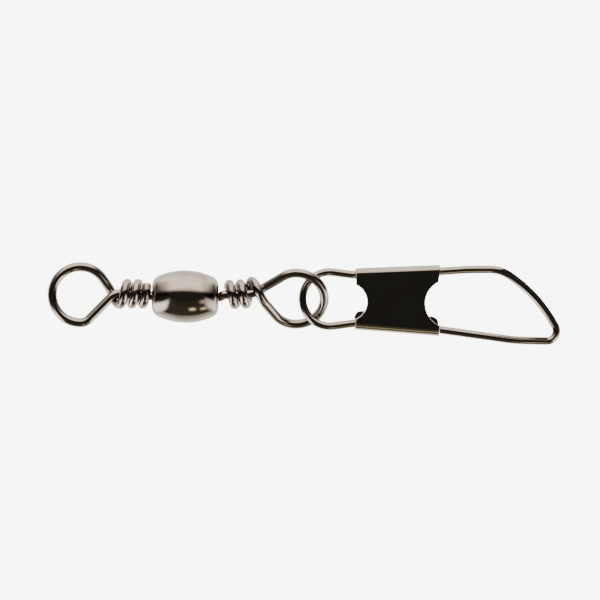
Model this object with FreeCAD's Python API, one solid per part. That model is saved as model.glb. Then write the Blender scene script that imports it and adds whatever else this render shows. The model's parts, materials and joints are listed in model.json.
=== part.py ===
"""Barrel swivel with a safety snap, 45 mm long, as it lies on a table.

The swivel's axis is X, from the line eye to the snap. The origin is the centre of the line eye's hole.
The barrel is a hollow shell swaged in over the heads of two wires. Each wire runs out through the shell,
round an eye and back over its own shank in a few tight turns. The snap is one sprung wire and one folded
plate. Its round end links through the snap eye, and its nose rests on the table.
"""
import FreeCAD
import Part

import math
import os

# Wire and sheet
EYE_WIRE_D = 0.82
SNAP_WIRE_D = 0.70
SHEET = 0.18

# Barrel
BARREL_LENGTH = 5.84
BARREL_D = 4.62
BARREL_WALL = 0.45
END_FACE_R = 0.95
SHOULDER_R = 0.90
SHANK_CLEARANCE = 0.06
SHANK_KINK = 0.15

# Heads that hold the wires in the barrel
HEAD_D = 2.10
HEAD_LENGTH = 0.70
HEAD_EDGE_R = 0.20
SEAT_CLEARANCE = 0.04
END_PLAY = 0.36

# Eyes: the reaches are along the swivel's axis, from the barrel's end to the eye's centre
EYE_R = 2.45
LINE_EYE_REACH = 6.27
SNAP_EYE_REACH = 6.80
SNAP_EYE_ROLL = 25.0

# Turns over the shank. The wire rises out of the eye's plane towards them, and the last one stops short
# of the barrel
TURN_R = 0.91
TURN_PITCH = 0.955
EYE_TWIST = 0.10
NECK_STEPS = 3
LIFT_AT = 2.5
LIFT_STEPS = 3.5
CORNERS_PER_TURN = 8
BEND_SHARE = 0.49
END_CLEARANCE = 0.05

# Snap, in its own plane: u runs from the middle of the round link to the nose, v is across it
LINK_R = 2.38
LINK_CORNERS = 3
LINK_FROM_EYE = 2.93
UPPER_LEG_ANGLE = 6.7
LOWER_LEG_ANGLE = 8.4
LEG_BEND_REACH = 0.25

# The clasp's folds run along the wire's two sides, which spread towards the nose
CLASP_START = 2.25
CLASP_LENGTH = 7.40
UPPER_FOLD_V = 2.18
UPPER_FOLD_ANGLE = 3.25
LOWER_FOLD_V = -2.07
LOWER_FOLD_ANGLE = -3.46
FOLD_CLEARANCE = 0.04
LIP_WRAP = 45.0
CRIMP_WRAP = 140.0
WIRE_END_GAP = 0.40
LEFT_NOTCH_DEPTH = 1.00
LEFT_UPPER_LAND = 0.92
LEFT_LOWER_LAND = 0.33
RIGHT_NOTCH_DEPTH = 1.30
RIGHT_UPPER_LAND = 1.00
RIGHT_LOWER_LAND = 0.32
RIGHT_LAND_SLANT = 0.15
FLAP_HEIGHT = 1.15
FLAP_CORNER_R = 0.60

# Lure side of the snap: corners of the bent wire, u from the clasp's end
LEG_KNEE = (6.71, -3.33)
NOSE = (11.03, -3.37)
ARM_CROWN = (8.56, 0.74)
ARM_TOP = (5.38, 2.86)
ARM_KINK = (2.40, 2.80)
ARM_FOLD_EXIT = 0.20
KNEE_REACH = 0.90
NOSE_REACH = 1.58
CROWN_REACH = 2.75
TOP_REACH = 0.95
KINK_REACH = 0.60

# Where the sprung arm parts from the fixed wire, along the arm from the nose corner
ARM_ROOT = 1.80
ROOT_GAP = 0.02

# The snap lies nose down, and leans a little to the arm's side
SNAP_LEAN = 3.5
TABLE_STEPS = 40

X = FreeCAD.Vector(1, 0, 0)
Y = FreeCAD.Vector(0, 1, 0)
Z = FreeCAD.Vector(0, 0, 1)
HERE = FreeCAD.Vector(0, 0, 0)

eye_wire_r = EYE_WIRE_D / 2
snap_wire_r = SNAP_WIRE_D / 2
barrel_r = BARREL_D / 2
line_eye_x = BARREL_LENGTH / 2 + LINE_EYE_REACH
snap_eye_x = BARREL_LENGTH / 2 + SNAP_EYE_REACH
barrel_x = line_eye_x
fold_inner_r = snap_wire_r + FOLD_CLEARANCE
fold_outer_r = fold_inner_r + SHEET
clasp_end = CLASP_START + CLASP_LENGTH
clasp_middle = CLASP_START + CLASP_LENGTH / 2


def at(u, v, w=0.0):
    return FreeCAD.Vector(u, v, w)


def cos_deg(angle):
    return math.cos(math.radians(angle))


def sin_deg(angle):
    return math.sin(math.radians(angle))


def tan_deg(angle):
    return math.tan(math.radians(angle))


def bend_path(corners):
    """Straight runs joined by tangent arcs. Each corner is (point, reach), where reach is how far the arc
    starts before the corner and ends after it. With no reach it takes nearly half of the shorter run."""
    edges = []
    start = corners[0][0]
    for (before, _), (corner, reach), (after, _) in zip(corners, corners[1:], corners[2:]):
        run_in = corner - before
        run_out = after - corner
        if reach is None:
            reach = min(run_in.Length, run_out.Length) * BEND_SHARE
        half_turn = run_in.getAngle(run_out) / 2
        into = run_in.normalize()
        out = run_out.normalize()
        radius = reach / math.tan(half_turn)
        inward = (out - into).normalize()
        bend_start = corner - into * reach
        bend_end = corner + out * reach
        middle = corner + inward * (radius / math.cos(half_turn) - radius)
        if (bend_start - start).Length > 1e-5:
            edges.append(Part.LineSegment(start, bend_start).toShape())
        edges.append(Part.Arc(bend_start, middle, bend_end).toShape())
        start = bend_end
    edges.append(Part.LineSegment(start, corners[-1][0]).toShape())
    return Part.Wire(edges)


def round_wire(corners, radius):
    """One solid wire, swept along its bent path."""
    first, second = corners[0][0], corners[1][0]
    section = Part.Wire(Part.makeCircle(radius, first, second - first))
    return bend_path(corners).makePipeShell([section], True, False)


def arc_through(start, middle, end):
    return Part.Arc(start, middle, end).toShape()


def line(start, end):
    return Part.LineSegment(start, end).toShape()


def revolved(edges):
    """A solid turned about the X axis from a closed outline in the XY plane."""
    return Part.Face(Part.Wire(edges)).revolve(HERE, X, 360)


def barrel_profile(half_length, middle_r, shoulder_r, end_r):
    """Half outline of the barrel's crown: a long arc that runs into a tighter shoulder at each end."""
    shoulder_x = half_length - shoulder_r
    rise = middle_r - end_r
    crown_r = (shoulder_x**2 + rise**2 - shoulder_r**2) / (2 * (rise - shoulder_r))
    lean = math.atan2(shoulder_x, end_r - (middle_r - crown_r))
    meet = at(crown_r * math.sin(lean), middle_r - crown_r + crown_r * math.cos(lean))
    mid_lean = (lean + math.pi / 2) / 2
    shoulder_mid = at(shoulder_x + shoulder_r * math.sin(mid_lean), end_r + shoulder_r * math.cos(mid_lean))
    face_edge = at(half_length, end_r)
    return meet, shoulder_mid, face_edge


def barrel_solid(half_length, middle_r, shoulder_r, end_r):
    meet, shoulder_mid, face_edge = barrel_profile(half_length, middle_r, shoulder_r, end_r)

    def other(p):
        return at(-p.x, p.y)

    outline = [
        line(at(-half_length, 0), other(face_edge)),
        arc_through(other(face_edge), other(shoulder_mid), other(meet)),
        arc_through(other(meet), at(0, middle_r), meet),
        arc_through(meet, shoulder_mid, face_edge),
        line(face_edge, at(half_length, 0)),
        line(at(half_length, 0), at(-half_length, 0)),
    ]
    return revolved(outline)


def make_barrel():
    half = BARREL_LENGTH / 2
    shell = barrel_solid(half, barrel_r, SHOULDER_R, END_FACE_R)
    inner_shoulder = SHOULDER_R - BARREL_WALL
    cavity = barrel_solid(half - BARREL_WALL, barrel_r - BARREL_WALL, inner_shoulder, END_FACE_R)
    hole_r = eye_wire_r + SHANK_CLEARANCE
    hole = Part.makeCylinder(hole_r, BARREL_LENGTH + 2, at(-half - 1, 0), X)
    barrel = shell.cut(cavity).cut(hole)
    barrel.translate(at(barrel_x, 0))
    return barrel


def wire_head(seat_x):
    """The upset head at the wire's end, with its flat on the seat side at seat_x."""
    r = HEAD_D / 2
    e = HEAD_EDGE_R
    k = e * (1 - math.sqrt(0.5))
    back = seat_x - HEAD_LENGTH
    outline = [
        line(at(back, 0), at(back, r - e)),
        arc_through(at(back, r - e), at(back + k, r - k), at(back + e, r)),
        line(at(back + e, r), at(seat_x - e, r)),
        arc_through(at(seat_x - e, r), at(seat_x - k, r - k), at(seat_x, r - e)),
        line(at(seat_x, r - e), at(seat_x, 0)),
        line(at(seat_x, 0), at(back, 0)),
    ]
    return revolved(outline)


def turn_corners(neck_x, slant, turns, neck_y, end_y, lean, lift):
    """Corners of the wire's turns over the shank, from the crossing at the neck back to the cut end.
    They circle a centre that goes from neck_y to end_y, starting at its front and over its top. The
    slant is how far the first strand runs on along the shank. A lean sets each turn askew. The first
    turn is lifted where it crosses the strand that climbs out of the shank."""
    step = 360.0 / CORNERS_PER_TURN
    corner_r = TURN_R / cos_deg(step / 2)
    nearest_x = BARREL_LENGTH / 2 + END_CLEARANCE + eye_wire_r
    steps = turns * CORNERS_PER_TURN
    corners = []
    for k in [*range(math.ceil(steps)), steps]:
        angle = 90 + step / 2 - step * k
        advance = TURN_PITCH * k / CORNERS_PER_TURN + slant * min(k / NECK_STEPS, 1)
        x = max(neck_x - advance + lean * cos_deg(angle), nearest_x)
        centre_y = neck_y + (end_y - neck_y) * k / steps
        rise = centre_y + lift * max(0.0, 1 - abs(k - LIFT_AT) / LIFT_STEPS)
        corners.append((at(x, corner_r * cos_deg(angle) + rise, corner_r * sin_deg(angle)), None))
    return corners


def make_eye_wire(eye_x, pull, shank_y, shank_bends, core_shoulder, wrap_shoulder,
                  neck, slant, turns, neck_y, lean, lift):
    """One wire in the snap eye's sense: head at the barrel's middle, eye at eye_x, turns back over the shank.
    pull is how far the head stands off its seat, and shank_y how far the shank is bent off the axis."""
    barrel_end = BARREL_LENGTH / 2
    seat_x = barrel_end - BARREL_WALL - SEAT_CLEARANCE - pull
    corners = [
        (at(seat_x - HEAD_LENGTH / 2, 0), 0),
        (at(barrel_end + SHANK_KINK, 0), SHANK_KINK),
        (at(barrel_end + 3 * SHANK_KINK, shank_y), SHANK_KINK),
    ]
    corners += [(at(eye_x + x, y), reach) for x, y, reach in shank_bends]
    corners += [
        (at(eye_x - core_shoulder, EYE_R), core_shoulder),
        (at(eye_x + EYE_R, EYE_R), EYE_R),
        (at(eye_x + EYE_R, -EYE_R), EYE_R),
        (at(eye_x - wrap_shoulder, -EYE_R, EYE_TWIST), wrap_shoulder),
    ]
    corners += turn_corners(eye_x - neck, slant, turns, neck_y, shank_y, lean, lift)
    return round_wire(corners, eye_wire_r).fuse(wire_head(seat_x)).removeSplitter()


def make_line_eye_wire():
    wire = make_eye_wire(
        eye_x=line_eye_x,
        pull=END_PLAY,
        shank_y=-0.17,
        shank_bends=[(-3.00, -0.17, 0.60)],
        core_shoulder=0.50,
        wrap_shoulder=1.22,
        neck=2.59,
        slant=0.71,
        turns=2.70,
        neck_y=-0.16,
        lean=0.03,
        lift=0.04,
    )
    turned = wire.mirror(HERE, X)
    turned.rotate(HERE, X, 180)
    turned.translate(at(barrel_x, 0))
    return turned


def make_snap_eye_wire():
    wire = make_eye_wire(
        eye_x=snap_eye_x,
        pull=0.0,
        shank_y=0.25,
        shank_bends=[(-3.88, 0.33, 0.50), (-3.00, 0.88, 0.30)],
        core_shoulder=0.65,
        wrap_shoulder=1.12,
        neck=2.90,
        slant=0.68,
        turns=2.50,
        neck_y=0.42,
        lean=-0.04,
        lift=0.24,
    )
    wire.rotate(HERE, X, SNAP_EYE_ROLL)
    wire.translate(at(barrel_x, 0))
    return wire


def upper_fold(u):
    return at(u, UPPER_FOLD_V + (u - CLASP_START) * tan_deg(UPPER_FOLD_ANGLE))


def lower_fold(u):
    return at(u, LOWER_FOLD_V + (u - CLASP_START) * tan_deg(LOWER_FOLD_ANGLE))


def leg_corner(side, leg_angle, fold_start, fold_angle):
    """Where a straight leg off the round link meets the line of a fold. side is 1 above and -1 below."""
    leg_v = side * LINK_R / cos_deg(leg_angle)
    leg_slope = -side * tan_deg(leg_angle)
    fold_slope = tan_deg(fold_angle)
    u = (fold_start.y - fold_slope * fold_start.x - leg_v) / (leg_slope - fold_slope)
    return at(u, leg_v + leg_slope * u)


def link_corners():
    """Corners of the round link, from its upper leg round to its lower leg."""
    first = 90 - UPPER_LEG_ANGLE
    turn = (360 - 2 * 90 + UPPER_LEG_ANGLE + LOWER_LEG_ANGLE) / LINK_CORNERS
    corner_r = LINK_R / cos_deg(turn / 2)
    reach = LINK_R * tan_deg(turn / 2)
    corners = []
    for k in range(LINK_CORNERS):
        angle = first + turn * (k + 0.5)
        corners.append((at(corner_r * cos_deg(angle), corner_r * sin_deg(angle)), reach))
    return corners


def past_clasp(corner):
    return at(clasp_end + corner[0], corner[1])


def arm_root():
    """The point where the sprung arm springs from: on the arm, just above the nose bend."""
    nose, crown = past_clasp(NOSE), past_clasp(ARM_CROWN)
    return nose + (crown - nose).normalize() * ARM_ROOT


def snap_wire_corners():
    return [
        (upper_fold(clasp_middle - WIRE_END_GAP / 2), 0),
        (leg_corner(1, UPPER_LEG_ANGLE, upper_fold(CLASP_START), UPPER_FOLD_ANGLE), LEG_BEND_REACH),
        *link_corners(),
        (leg_corner(-1, LOWER_LEG_ANGLE, lower_fold(CLASP_START), LOWER_FOLD_ANGLE), LEG_BEND_REACH),
        (lower_fold(clasp_end), LEG_BEND_REACH),
        (past_clasp(LEG_KNEE), KNEE_REACH),
        (past_clasp(NOSE), NOSE_REACH),
        (arm_root(), 0),
    ]


def arm_corners():
    return [
        (arm_root(), 0),
        (past_clasp(ARM_CROWN), CROWN_REACH),
        (past_clasp(ARM_TOP), TOP_REACH),
        (past_clasp(ARM_KINK), KINK_REACH),
        (upper_fold(clasp_end + ARM_FOLD_EXIT), LEG_BEND_REACH),
        (upper_fold(clasp_middle + WIRE_END_GAP / 2), 0),
    ]


def lay_down(pitch):
    """From the snap's own plane to where it lies: hung in the eye, nose down on the table."""
    turn = FreeCAD.Rotation(Y, pitch).multiply(FreeCAD.Rotation(X, -SNAP_LEAN))
    eye_tip = barrel_x + snap_eye_x + EYE_R
    link_centre = barrel_x + snap_eye_x + LINK_FROM_EYE
    hang_x = (eye_tip + link_centre - LINK_R) / 2
    back = FreeCAD.Placement(at(link_centre - hang_x, 0), FreeCAD.Rotation())
    return FreeCAD.Placement(at(hang_x, 0), turn).multiply(back)


def rest_pitch():
    """The nose-down angle at which the arm's lowest point just touches the table under the barrel."""
    points = bend_path(arm_corners()).discretize(Number=200)
    table = snap_wire_r - barrel_r
    low, high = 0.0, 45.0
    for _ in range(TABLE_STEPS):
        pitch = (low + high) / 2
        place = lay_down(pitch)
        if min(place.multVec(p).z for p in points) > table:
            low = pitch
        else:
            high = pitch
    return low


def make_snap_wire():
    socket = Part.makeSphere(snap_wire_r + ROOT_GAP, arm_root())
    return round_wire(snap_wire_corners(), snap_wire_r).cut(socket)


def make_gate_arm():
    root = Part.makeSphere(snap_wire_r, arm_root())
    return round_wire(arm_corners(), snap_wire_r).fuse(root).removeSplitter()


def fold(start, end, outward, wrap):
    """A bent edge of the sheet: from its front over its outer side, and on round the back by wrap degrees."""
    along = (end - start).normalize()
    across = Z.cross(along) * outward

    def edge_point(radius, angle):
        return start + across * (radius * cos_deg(angle)) + Z * (radius * sin_deg(angle))

    middle = (90 - wrap) / 2
    section = Part.Wire([
        arc_through(*(edge_point(fold_outer_r, a) for a in (90, middle, -wrap))),
        line(edge_point(fold_outer_r, -wrap), edge_point(fold_inner_r, -wrap)),
        arc_through(*(edge_point(fold_inner_r, a) for a in (-wrap, middle, 90))),
        line(edge_point(fold_inner_r, 90), edge_point(fold_outer_r, 90)),
    ])
    return Part.Face(section).extrude(end - start)


def make_plate():
    """The clasp's flat front, waisted by a round notch in each side between two narrow lands."""
    left_top = upper_fold(CLASP_START) - Y * LEFT_UPPER_LAND
    left_bottom = lower_fold(CLASP_START) + Y * LEFT_LOWER_LAND
    left_deepest = (left_top + left_bottom) / 2 + X * LEFT_NOTCH_DEPTH
    right_top = upper_fold(clasp_end) - Y * RIGHT_UPPER_LAND
    right_bottom = lower_fold(clasp_end) + Y * RIGHT_LOWER_LAND
    right_deepest = (right_top + right_bottom) / 2 - X * RIGHT_NOTCH_DEPTH
    right_top -= X * RIGHT_LAND_SLANT
    outline = [
        line(upper_fold(CLASP_START), upper_fold(clasp_end)),
        line(upper_fold(clasp_end), right_top),
        arc_through(right_top, right_deepest, right_bottom),
        line(right_bottom, lower_fold(clasp_end)),
        line(lower_fold(clasp_end), lower_fold(CLASP_START)),
        line(lower_fold(CLASP_START), left_bottom),
        arc_through(left_bottom, left_deepest, left_top),
        line(left_top, upper_fold(CLASP_START)),
    ]
    plate = Part.Face(Part.Wire(outline)).extrude(Z * SHEET)
    plate.translate(Z * fold_inner_r)
    return plate


def make_flap():
    """The bottom fold's end, which returns flat up the back behind the fixed leg, with rounded corners."""
    left, right = lower_fold(CLASP_START), lower_fold(clasp_end)
    along = (right - left).normalize()
    up = Z.cross(along) * FLAP_HEIGHT
    r = FLAP_CORNER_R
    k = r * (1 - math.sqrt(0.5))
    over = Z.cross(along)
    outline = [
        line(left, right),
        line(right, right + up - over * r),
        arc_through(right + up - over * r, right + up - over * k - along * k, right + up - along * r),
        line(right + up - along * r, left + up + along * r),
        arc_through(left + up + along * r, left + up - over * k + along * k, left + up - over * r),
        line(left + up - over * r, left),
    ]
    flap = Part.Face(Part.Wire(outline)).extrude(Z * SHEET)
    flap.translate(Z * -fold_outer_r)
    return flap


def make_lock_clasp():
    crimp = fold(upper_fold(CLASP_START), upper_fold(clasp_middle), 1, CRIMP_WRAP)
    hook = fold(upper_fold(clasp_middle), upper_fold(clasp_end), 1, LIP_WRAP)
    closed = fold(lower_fold(CLASP_START), lower_fold(clasp_end), -1, 90)
    return make_plate().fuse([crimp, hook, closed, make_flap()]).removeSplitter()


NODES = {
    "barrel": make_barrel,
    "line_eye_wire": make_line_eye_wire,
    "snap_eye_wire": make_snap_eye_wire,
    "snap_wire": make_snap_wire,
    "gate_arm": make_gate_arm,
    "lock_clasp": make_lock_clasp,
}
SNAP_NODES = ("snap_wire", "gate_arm", "lock_clasp")


def main():
    os.makedirs("parts", exist_ok=True)
    pitch = rest_pitch()
    for name, make in NODES.items():
        shape = make()
        if name in SNAP_NODES:
            shape.Placement = lay_down(pitch)
        shape.exportStep("parts/" + name + ".step")
        print(name, "valid", shape.isValid(), "solids", len(shape.Solids), "faces", len(shape.Faces),
              "volume", round(shape.Volume, 3))


main()
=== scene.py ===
"""Looks of a barrel swivel with a safety snap, polished black nickel, seen from straight above.

Pieces are made in millimetres, in the swivel's own frame or in the snap's own plane, and are then
placed in the frame in metres. The metal shows mostly what it mirrors, so the studio is a ring of
light and dark bands round the swivel's axis, with soft patches of light over them and one black
card beyond the nose. The pale floor lies well below the swivel: the photograph shows no shadow,
and the opened snap doesn't sink into it.
"""
import json
import math

import bmesh
import bpy
from bpy.props import FloatProperty, FloatVectorProperty, IntProperty, PointerProperty
from mathutils import Matrix, Vector


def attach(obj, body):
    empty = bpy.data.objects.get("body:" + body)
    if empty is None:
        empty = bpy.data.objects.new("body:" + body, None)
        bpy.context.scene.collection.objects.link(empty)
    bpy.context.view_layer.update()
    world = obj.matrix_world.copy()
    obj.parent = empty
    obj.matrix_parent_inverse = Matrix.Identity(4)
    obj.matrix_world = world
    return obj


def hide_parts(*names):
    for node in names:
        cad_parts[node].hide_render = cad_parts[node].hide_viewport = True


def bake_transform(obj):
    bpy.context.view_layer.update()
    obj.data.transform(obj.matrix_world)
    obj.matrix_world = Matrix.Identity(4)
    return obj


bl_info = {
    "name": "Snap Swivel",
    "version": (1, 0, 0),
    "blender": (4, 5, 0),
    "location": "View3D > Sidebar > Swivel",
    "description": "Builds a barrel swivel with a linked safety snap around its packed frame",
    "category": "Object",
}

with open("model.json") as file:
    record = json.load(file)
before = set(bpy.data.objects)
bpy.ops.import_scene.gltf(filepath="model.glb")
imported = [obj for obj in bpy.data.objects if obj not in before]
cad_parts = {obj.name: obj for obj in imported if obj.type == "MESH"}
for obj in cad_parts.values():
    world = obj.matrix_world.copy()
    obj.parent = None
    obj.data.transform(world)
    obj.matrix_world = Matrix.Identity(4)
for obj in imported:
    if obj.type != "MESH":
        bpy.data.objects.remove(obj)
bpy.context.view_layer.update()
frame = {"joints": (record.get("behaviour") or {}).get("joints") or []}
joints = {joint["name"]: joint for joint in frame["joints"]}

MM = 0.001

# Corners that lie nearer to each other than this, in millimetres, are one corner
SAME_CORNER = 1e-4

# Edges that turn by more than this stay crisp
CREASE = math.radians(40)

# Directions that arcs turn about
ALONG = (1, 0, 0)
UP = (0, 0, 1)


def length(name, millimetres, description):
    return FloatProperty(name=name, description=description, default=millimetres * MM,
                         unit="LENGTH", precision=6)


def degrees(name, value, description):
    return FloatProperty(name=name, description=description, default=math.radians(value), unit="ROTATION")


def corner(name, across, description):
    return FloatVectorProperty(name=name, description=description, size=2, unit="LENGTH", precision=6,
                               default=[value * MM for value in across])


def colour(name, rgb, description):
    return FloatVectorProperty(name=name, description=description, subtype="COLOR", size=3,
                               min=0, max=1, default=rgb)


def mm(value):
    """A property's metres, or pair of metres, in the millimetres that pieces are made in."""
    if hasattr(value, "__len__"):
        return [part / MM for part in value]
    return value / MM


class SwivelStock(bpy.types.PropertyGroup):
    """Wire and sheet that everything is bent from."""

    eye_wire: length("Eye Wire", 0.82, "Thickness of the wire in both eyes")
    snap_wire: length("Snap Wire", 0.70, "Thickness of the snap's sprung wire")
    sheet: length("Sheet", 0.18, "Thickness of the clasp's sheet")
    tube_faces: IntProperty(name="Faces Round Wire", description="Faces round every wire", default=32, min=12)


class SwivelBarrel(bpy.types.PropertyGroup):
    """The swaged barrel and the heads that it holds."""

    length: length("Length", 5.84, "Barrel from end face to end face")
    thickness: length("Thickness", 4.62, "Barrel across its middle")
    wall: length("Wall", 0.45, "Thickness of the barrel's shell")
    end_face_r: length("End Face Radius", 0.95, "Radius of the flat round each hole")
    shoulder_r: length("Shoulder Radius", 0.90, "Radius that the shell is swaged in with")
    hole_r: length("Hole Radius", 0.47, "Radius of the hole that a shank runs in")
    lip_r: length("Lip Radius", 0.07, "Rounding of each hole's edge")
    head: length("Head", 2.10, "Diameter of the upset head on each wire")
    head_length: length("Head Length", 0.70, "Length of the upset head")
    head_edge_r: length("Head Edge", 0.20, "Rounding of the head's edges")
    seat_gap: length("Seat Gap", 0.04, "Least gap between a head and its seat")
    end_play: length("End Play", 0.36, "How far the line eye's head stands off its seat")


class SwivelEyes(bpy.types.PropertyGroup):
    """Both wire eyes and their turns over the shank."""

    radius: length("Eye Radius", 2.45, "Radius of each eye, to the middle of its wire")
    line_reach: length("Line Eye Reach", 6.27, "Barrel's end to the line eye's middle")
    snap_reach: length("Snap Eye Reach", 6.80, "Barrel's end to the snap eye's middle")
    snap_roll: degrees("Snap Eye Roll", 25.0, "How far the snap eye has turned in the barrel")
    shank_kink: length("Shank Kink", 0.15, "Reach of the small bends where a shank leaves the barrel")
    twist: length("Twist", 0.10, "How far the eye's end rises out of its plane towards the turns")
    turn_r: length("Turn Radius", 0.91, "Radius of the turns, to the middle of the wire")
    turn_pitch: length("Turn Pitch", 0.955, "Advance of the wire in each turn")
    end_gap: length("End Gap", 0.05, "Least gap between the last turn and the barrel")
    turn_corners: IntProperty(name="Corners", description="Bends in each turn of wire", default=8, min=6)


class SwivelSnap(bpy.types.PropertyGroup):
    """The snap's wire, in its own plane: across, then up, from the middle of its round link."""

    link_r: length("Link Radius", 2.38, "Radius of the round link, to the middle of its wire")
    upper_leg: degrees("Upper Leg", 6.7, "Slope of the leg from the link to the upper fold")
    lower_leg: degrees("Lower Leg", 8.4, "Slope of the leg from the link to the lower fold")
    leg_bend: length("Leg Bend", 0.25, "Reach of the small bends beside the clasp")
    wire_end_gap: length("Wire End Gap", 0.40, "Gap between the wire's two ends, inside the upper fold")
    knee: corner("Knee", (6.71, -3.33), "Gentle bend in the lower leg, from the clasp's end")
    nose: corner("Nose", (11.03, -3.37), "Corner of the nose bend, from the clasp's end")
    crown: corner("Crown", (8.56, 0.74), "Corner of the arm's long curve, from the clasp's end")
    top: corner("Top", (5.38, 2.86), "Corner where the arm turns level, from the clasp's end")
    kink: corner("Kink", (2.40, 2.80), "Slight bend in the level arm, from the clasp's end")
    knee_reach: length("Knee Reach", 0.90, "Reach of the knee's bend")
    nose_reach: length("Nose Reach", 1.58, "Reach of the nose bend")
    crown_reach: length("Crown Reach", 2.75, "Reach of the long curve")
    top_reach: length("Top Reach", 0.95, "Reach of the bend at the top")
    kink_reach: length("Kink Reach", 0.60, "Reach of the slight bend")
    fold_exit: length("Fold Exit", 0.20, "Where the arm leaves the line of the fold, past the clasp")
    root: length("Arm Root", 1.80, "Nose corner to the middle of the flexing stretch")
    flex: length("Flex", 1.30, "Length of the wire that flexes when the arm opens")
    seam: length("Seam", 0.22, "Hidden joint in the lower leg, before the nose bend")


class SwivelClasp(bpy.types.PropertyGroup):
    """The folded sheet clasp, in the snap's own plane."""

    start: length("Start", 2.25, "Link's middle to the clasp's near edge")
    length: length("Length", 7.40, "Clasp along the snap")
    upper_v: length("Upper Fold", 2.18, "Height of the upper fold's axis at the near edge")
    upper_slope: degrees("Upper Slope", 3.25, "Slope of the upper fold")
    lower_v: length("Lower Fold", -2.07, "Height of the lower fold's axis at the near edge")
    lower_slope: degrees("Lower Slope", -3.46, "Slope of the lower fold")
    fold_gap: length("Fold Gap", 0.04, "Gap between the wire and the inside of a fold")
    lip_wrap: degrees("Lip Wrap", 45.0, "How far the open hook goes round the back of the arm")
    crimp_wrap: degrees("Crimp Wrap", 140.0, "How far the closed part of the upper fold goes round")
    near_notch: length("Near Notch", 1.00, "Depth of the notch towards the link")
    near_upper: length("Near Upper Land", 0.92, "Upper fold to that notch, along the edge")
    near_lower: length("Near Lower Land", 0.33, "Lower fold to that notch, along the edge")
    far_notch: length("Far Notch", 1.30, "Depth of the notch towards the nose")
    far_upper: length("Far Upper Land", 1.00, "Upper fold to that notch, along the edge")
    far_lower: length("Far Lower Land", 0.32, "Lower fold to that notch, along the edge")
    far_slant: length("Far Land Slant", 0.15, "How far the upper land slants back to that notch")
    flap: length("Flap", 1.15, "Height of the return at the back, from the lower fold's axis")
    flap_corner: length("Flap Corner", 0.60, "Rounding of the flap's two corners")
    edge: length("Edge", 0.06, "Rounding of the sheet's cut edges")
    hem: length("Hem", 0.15, "Strip of faces along each end, which keeps the folds straight")


class SwivelFinish(bpy.types.PropertyGroup):
    """Colours of the plating, and of the painted highlight along the clasp's lower fold."""

    nickel: colour("Nickel", (0.305, 0.286, 0.263), "Black nickel on the wires")
    shell: colour("Shell", (0.350, 0.328, 0.300), "Black nickel on the barrel")
    plate: colour("Plate", (0.300, 0.290, 0.275), "Black nickel on the clasp")
    # Painted highlight: a brassy colour on the lower fold's faces that stands in for the golden glint they
    # mirror
    painted_sheen: colour("Painted Fold", (0.66, 0.61, 0.52), "Brassy sheen where the clasp's lower fold is rubbed")
    cut: colour("Cut Edge", (0.92, 0.90, 0.87), "Thin plating on the sheet's cut edges")
    dull: colour("Dull", (0.20, 0.17, 0.14), "Handled and slightly tarnished plating")


class SwivelStudio(bpy.types.PropertyGroup):
    """Camera, floor and the bands of light that the metal mirrors."""

    middle: corner("View Middle", (19.235, -0.128), "The point that the middle of the photograph shows")
    width: length("View Width", 52.5, "What the photograph's frame spans")
    lens: FloatProperty(name="Lens", description="Focal length in millimetres", default=1000.0)
    turn: degrees("View Turn", 1.0, "How far the camera is turned about the line of sight")
    floor_drop: length("Floor Drop", 8.5, "How far the floor lies below the swivel's axis")
    floor_size: length("Floor Size", 4000.0, "Side of the floor")
    card_place: corner("Card Place", (47.4, 8.6), "Middle of the black card's foot")
    card_turn: degrees("Card Turn", 42.0, "Direction that the card stands in from the arm")
    card_width: length("Card Width", 16.0, "Width of the black card")
    card_height: length("Card Height", 40.0, "Height of the card, half of it below the swivel")
    strength: FloatProperty(name="Strength", description="Brightness of the bands of light", default=2.6)
    white: FloatProperty(name="White", description="Glow of the floor and of the backdrop", default=7.0)


GROUPS = {
    "swivel_stock": SwivelStock,
    "swivel_barrel": SwivelBarrel,
    "swivel_eyes": SwivelEyes,
    "swivel_snap": SwivelSnap,
    "swivel_clasp": SwivelClasp,
    "swivel_finish": SwivelFinish,
    "swivel_studio": SwivelStudio,
}


# Node helpers and finishes


def link(tree, output, socket):
    tree.links.new(output, socket)


def feed(tree, value, socket):
    """Sets a socket to a number, or links another node's output to it."""
    if isinstance(value, (int, float)):
        socket.default_value = value
    else:
        link(tree, value, socket)


def add(tree, kind, inputs=None, **values):
    """A node with its properties set, and its unlinked inputs by their names."""
    node = tree.nodes.new(kind)
    for key, value in values.items():
        setattr(node, key, value)
    for key, value in (inputs or {}).items():
        node.inputs[key].default_value = value
    return node


def math_node(tree, operation, *values):
    node = add(tree, "ShaderNodeMath", operation=operation)
    for socket, value in zip(node.inputs, values):
        feed(tree, value, socket)
    return node.outputs[0]


def fade(tree, source, start, end, first=0.0, last=1.0, soft=True):
    """Gives first where the source is at start and last where it is at end, changing softly or evenly."""
    node = add(tree, "ShaderNodeMapRange", interpolation_type="SMOOTHSTEP" if soft else "LINEAR")
    feed(tree, source, node.inputs["Value"])
    feed(tree, start, node.inputs["From Min"])
    feed(tree, end, node.inputs["From Max"])
    feed(tree, first, node.inputs["To Min"])
    feed(tree, last, node.inputs["To Max"])
    return node.outputs[0]


# The share of the plating that could hold a speck and has none
CLEAN_SHARE = 0.86


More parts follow.
